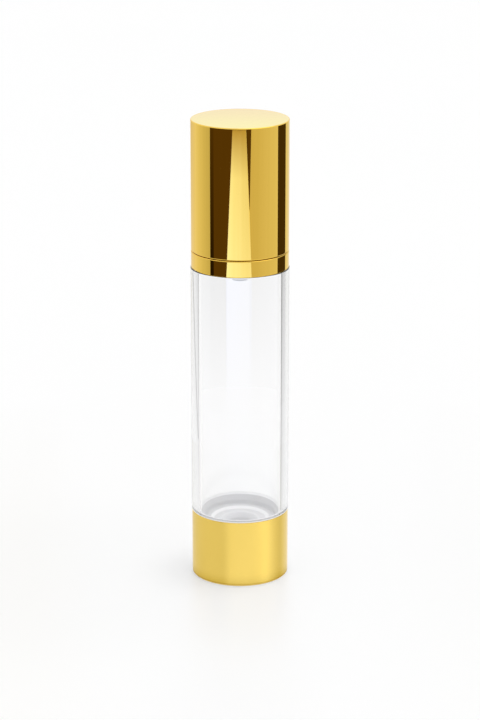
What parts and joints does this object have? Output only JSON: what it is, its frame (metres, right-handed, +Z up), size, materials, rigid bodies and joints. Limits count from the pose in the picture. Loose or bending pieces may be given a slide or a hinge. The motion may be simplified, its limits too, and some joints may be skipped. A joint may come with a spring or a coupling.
{
  "type": "airless pump bottle",
  "caption": "Upright airless pump bottle: clear thick-walled tube with a follower piston, gold base, collar and lift-off overcap over a push-button pump.",
  "frame": {"origin": "on the bottle's axis, at the table under the base", "axes": "+Z up along the bottle's axis, -Y towards the front, where the spout points"},
  "size_m": [0.033, 0.033, 0.158],
  "materials": {
    "bright_gold": "polished gold anodised",
    "satin_gold": "satin gold anodised",
    "clear_moulding": "clear polished",
    "white_moulding": "as moulded",
    "natural_moulding": "natural, slightly translucent",
    "piston_moulding": "waxy",
    "steel": "drawn and polished",
    "seal": "soft"
  },
  "bodies": {
    "bottle": {"bottle_body": "clear_moulding", "base_shell": "satin_gold", "base_insert": "white_moulding", "collar_shell": "bright_gold", "shoulder_liner": "white_moulding", "snap_fixture": "white_moulding", "neck_gasket": "seal", "pump_housing": "natural_moulding", "stem_guide": "natural_moulding", "return_spring": "steel"},
    "overcap": {"overcap_shell": "bright_gold", "overcap_liner": "white_moulding"},
    "pump_stem": {"stem": "natural_moulding", "piston_rod": "natural_moulding"},
    "push_button": {"actuator_shell": "bright_gold", "actuator_body": "white_moulding", "nozzle_insert": "white_moulding"},
    "outlet_valve": {"pump_piston": "piston_moulding"},
    "inlet_valve": {"inlet_ball": "steel"},
    "follower": {"follower_piston": "piston_moulding"}
  },
  "joints": [
    {"name": "overcap_lift", "type": "slide", "parent": "bottle", "child": "overcap", "axis": [0, 0, 1], "range_m": [0, 0.045]},
    {"name": "button_press", "type": "slide", "parent": "bottle", "child": "pump_stem", "axis": [0, 0, 1], "range_m": [-0.0045, 0], "stiffness_N_per_m": 1500, "springref_m": 0.005, "deforming": ["return_spring"]},
    {"name": "button_turn", "type": "hinge", "parent": "pump_stem", "child": "push_button", "pos_m": [0, 0, 0.14], "axis": [0, 0, 1], "continuous": true},
    {"name": "outlet_valve_slip", "type": "slide", "parent": "pump_stem", "child": "outlet_valve", "axis": [0, 0, 1], "range_m": [0, 0.0008]},
    {"name": "inlet_valve_lift", "type": "slide", "parent": "bottle", "child": "inlet_valve", "axis": [0, 0, 1], "range_m": [0, 0.0006]},
    {"name": "follower_rise", "type": "slide", "parent": "bottle", "child": "follower", "axis": [0, 0, 1], "range_m": [0, 0.084]}
  ]
}
